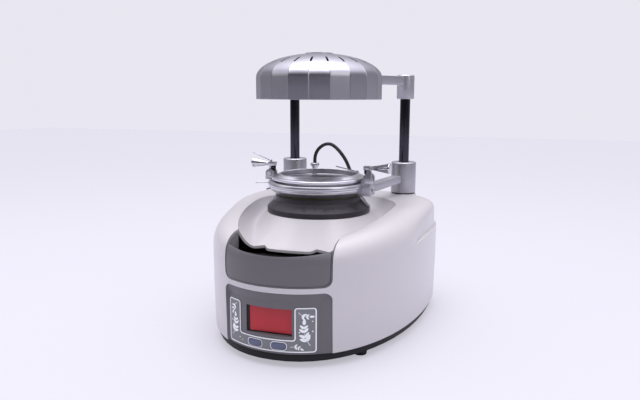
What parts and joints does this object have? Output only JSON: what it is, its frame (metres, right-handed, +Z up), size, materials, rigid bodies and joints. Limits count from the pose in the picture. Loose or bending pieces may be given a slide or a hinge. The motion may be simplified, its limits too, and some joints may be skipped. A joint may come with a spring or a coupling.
{
  "type": "dental vacuum former",
  "caption": "Bench-top dental vacuum former: a domed heater on a column over a lever-clamped sheet carriage and a perforated suction table, on a moulded housing.",
  "frame": {"origin": "middle of the footprint's bounding box, on the worktop", "axes": "+Z up, -Y towards the control panel and the user, +X to the user's right; the forming axis is at X 0, Y -11 mm"},
  "size_m": [0.297, 0.378, 0.3643],
  "materials": {
    "housing": "pearl moulded plastic, satin gloss",
    "dark_plastic": "dark grey moulded plastic, fine satin",
    "black_plastic": "black moulded plastic",
    "black_rubber": "black rubber",
    "seal_rubber": "olive black rubber",
    "table_grey": "dark grey powder coat",
    "satin_aluminium": "silver satin coat",
    "polished_aluminium": "turned and polished",
    "cast_aluminium": "as cast",
    "chrome": "bright chrome",
    "steel": "zinc plated",
    "sintered_iron": "oiled sintered iron",
    "copper_windings": "laminations and copper windings",
    "label": "grey printed film",
    "display_red": "red tinted window",
    "button_blue": "grey blue moulded plastic",
    "circuit_board": "green lacquered board",
    "rocker_red": "red moulded plastic",
    "element_steel": "heat darkened sheath",
    "insulator": "cream ceramic insulator"
  },
  "bodies": {
    "root": {"main_housing": "housing", "pocket_liner": "dark_plastic", "base_plate": "black_plastic", "rubber_feet": "black_rubber", "base_screws": "steel", "control_fascia": "dark_plastic", "panel_label": "label", "display_lens": "display_red", "display_board": "circuit_board", "control_board": "circuit_board", "board_standoffs": "steel", "drawer_guide": "black_plastic", "vacuum_motor": "cast_aluminium", "motor_bracket": "steel", "motor_mount": "black_rubber", "suction_duct": "black_rubber", "table_base": "table_grey", "table_seal": "seal_rubber", "table_platform": "satin_aluminium", "table_catch": "steel", "left_column": "chrome", "right_column": "chrome", "column_nuts": "steel", "column_bumpers": "black_rubber", "cable_gland": "steel", "sensor_cable": "black_rubber", "cable_grommet": "black_rubber", "mains_inlet": "black_plastic", "switch_frame": "black_plastic"},
    "left_button": {"left_button": "button_blue"},
    "right_button": {"right_button": "button_blue"},
    "drawer": {"drawer_front": "dark_plastic", "drawer_tray": "black_plastic"},
    "rotor": {"motor_rotor": "copper_windings"},
    "rocker": {"power_rocker": "rocker_red"},
    "carriage": {"holder_ring": "polished_aluminium", "left_hub_arm": "satin_aluminium", "right_hub_arm": "satin_aluminium", "hub_bushes": "sintered_iron", "arm_end_block": "satin_aluminium", "carriage_screws": "steel", "left_clevis": "satin_aluminium", "right_clevis": "satin_aluminium", "pivot_pins": "steel", "ring_horn": "polished_aluminium"},
    "clamp_ring": {"clamp_ring": "polished_aluminium", "ring_wire": "steel"},
    "left_lever": {"left_lever": "steel", "left_nose": "black_rubber", "left_handle": "chrome", "lever_wire": "steel"},
    "right_lever": {"right_lever": "steel", "right_nose": "black_rubber", "right_handle": "chrome"},
    "heater": {"heater_hood": "satin_aluminium", "heater_arm": "satin_aluminium", "heater_bush": "sintered_iron", "heater_reflector": "polished_aluminium", "heating_element": "element_steel", "element_clips": "insulator"}
  },
  "joints": [
    {"name": "carriage_slide", "type": "slide", "parent": "root", "child": "carriage", "axis": [0, 0, 1], "range_m": [0, 0.06]},
    {"name": "clamp_ring_lift", "type": "slide", "parent": "carriage", "child": "clamp_ring", "axis": [0, 0, 1], "range_m": [0, 0.022]},
    {"name": "left_lever_pivot", "type": "hinge", "parent": "carriage", "child": "left_lever", "pos_m": [-0.07133, -0.00601, 0.202], "axis": [-0.0698, -0.9976, 0], "range_deg": [-34, 0]},
    {"name": "right_lever_pivot", "type": "hinge", "parent": "carriage", "child": "right_lever", "pos_m": [0.07133, -0.01599, 0.202], "axis": [0.0698, 0.9976, 0], "range_deg": [-34, 0]},
    {"name": "heater_swing", "type": "hinge", "parent": "root", "child": "heater", "pos_m": [0.0893, 0.14, 0.304], "axis": [0, 0, 1], "range_deg": [0, 100]},
    {"name": "left_button_press", "type": "slide", "parent": "root", "child": "left_button", "axis": [0, 1, 0], "range_m": [0, 0.001], "stiffness_N_per_m": 500, "springref_m": -0.001},
    {"name": "right_button_press", "type": "slide", "parent": "root", "child": "right_button", "axis": [0, 1, 0], "range_m": [0, 0.001], "stiffness_N_per_m": 500, "springref_m": -0.001},
    {"name": "drawer_slide", "type": "slide", "parent": "root", "child": "drawer", "axis": [0, -1, 0], "range_m": [0, 0.045]},
    {"name": "rocker_pivot", "type": "hinge", "parent": "root", "child": "rocker", "pos_m": [0.006, 0.1839, 0.045], "axis": [1, 0, 0], "range_deg": [0, 16]},
    {"name": "rotor_spin", "type": "hinge", "parent": "root", "child": "rotor", "pos_m": [0, -0.011, 0.07], "axis": [0, 0, 1], "continuous": true}
  ]
}
